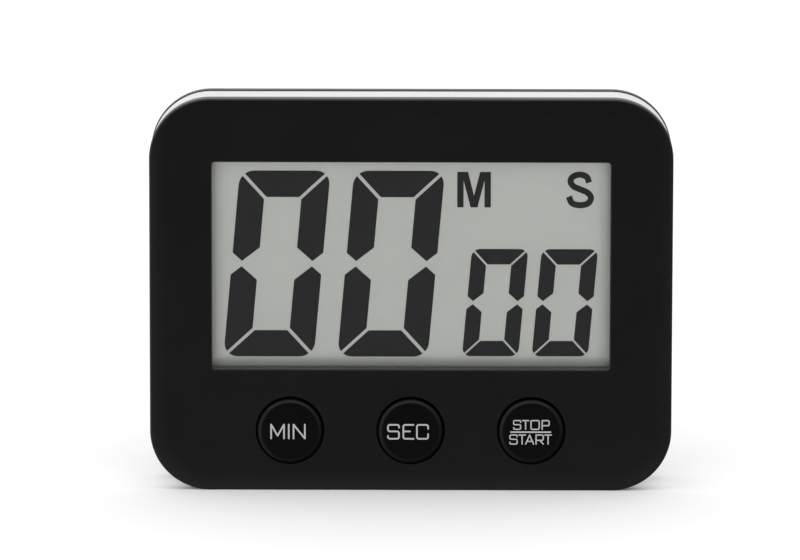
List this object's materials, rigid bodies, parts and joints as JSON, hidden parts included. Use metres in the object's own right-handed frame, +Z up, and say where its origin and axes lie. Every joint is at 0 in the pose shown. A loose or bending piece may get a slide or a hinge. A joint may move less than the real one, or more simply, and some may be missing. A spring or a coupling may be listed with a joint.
{
  "type": "digital kitchen timer",
  "caption": "Thin rounded digital kitchen timer, black front and back with a white band, a wide display window, round buttons, a fold-out stand, magnets and a quarter-turn coin-cell door.",
  "frame": {"origin": "centre of the bounding box's footprint, on the bottom edge that the timer stands on", "axes": "+Z up, -Y out of the display's face towards the user, +X to the user's right"},
  "size_m": [0.08, 0.014, 0.0607],
  "materials": {
    "black_plastic": "satin black moulded plastic",
    "button_black": "fine-grained matte black",
    "white_plastic": "smooth satin white",
    "clear_lens": "clear, polished",
    "display_film": "grey-green reflective display film",
    "display_glass": "clear glass",
    "foam": "black closed-cell foam",
    "grey_plastic": "grey moulded plastic",
    "contact_rubber": "grey conductive rubber",
    "silicone": "translucent grey silicone",
    "carbon": "matte conductive carbon",
    "board_green": "green solder-masked board",
    "black_resin": "glossy black resin",
    "ceramic": "tan ceramic",
    "white_ceramic": "off-white ceramic",
    "steel": "nickel-plated steel",
    "brass": "bare brass",
    "red_jacket": "red wire insulation",
    "black_jacket": "black wire insulation"
  },
  "bodies": {
    "case": {"front_panel": "black_plastic", "middle_housing": "white_plastic", "back_cover": "black_plastic", "magnet_left": "steel", "magnet_right": "steel", "case_screw_1": "steel", "case_screw_2": "steel", "case_screw_3": "steel", "case_screw_4": "steel", "board_screw_1": "steel", "board_screw_2": "steel", "board_screw_3": "steel", "board_screw_4": "steel", "display_lens": "clear_lens", "light_gasket": "foam", "display_polariser": "display_film", "display_front_glass": "display_glass", "display_rear_glass": "display_glass", "display_reflector": "grey_plastic", "contact_strip": "contact_rubber", "display_frame": "grey_plastic", "circuit_board": "board_green", "chip_resin": "black_resin", "quartz_crystal": "steel", "chip_capacitor_1": "ceramic", "chip_capacitor_2": "ceramic", "chip_resistor": "black_resin", "keypad_sheet": "silicone", "min_button_dome": "silicone", "sec_button_dome": "silicone", "start_stop_button_dome": "silicone", "coin_cell": "steel", "cell_ring": "grey_plastic", "cell_contact_minus": "brass", "cell_contact_plus": "brass", "sounder_plate": "brass", "sounder_ceramic": "white_ceramic", "sounder_wire_1": "red_jacket", "sounder_wire_2": "black_jacket"},
    "min_button": {"min_button_cap": "button_black", "min_button_contact": "carbon"},
    "sec_button": {"sec_button_cap": "button_black", "sec_button_contact": "carbon"},
    "start_stop_button": {"start_stop_button_cap": "button_black", "start_stop_button_contact": "carbon"},
    "stand": {"stand_flap": "black_plastic"},
    "door": {"cell_door": "black_plastic"}
  },
  "joints": [
    {"name": "min_press", "type": "slide", "parent": "case", "child": "min_button", "axis": [0, 1, 0], "range_m": [0, 0.0007], "stiffness_N_per_m": 1500, "springref_m": -0.0002, "deforming": ["min_button_dome"]},
    {"name": "sec_press", "type": "slide", "parent": "case", "child": "sec_button", "axis": [0, 1, 0], "range_m": [0, 0.0007], "stiffness_N_per_m": 1500, "springref_m": -0.0002, "deforming": ["sec_button_dome"]},
    {"name": "start_stop_press", "type": "slide", "parent": "case", "child": "start_stop_button", "axis": [0, 1, 0], "range_m": [0, 0.0007], "stiffness_N_per_m": 1500, "springref_m": -0.0002, "deforming": ["start_stop_button_dome"]},
    {"name": "stand_fold", "type": "hinge", "parent": "case", "child": "stand", "pos_m": [0, 0.006, 0.042], "axis": [1, 0, 0], "range_deg": [0, 40]},
    {"name": "door_turn", "type": "hinge", "parent": "case", "child": "door", "pos_m": [-0.026, 0.006, 0.024], "axis": [0, 1, 0], "range_deg": [0, 45]}
  ]
}
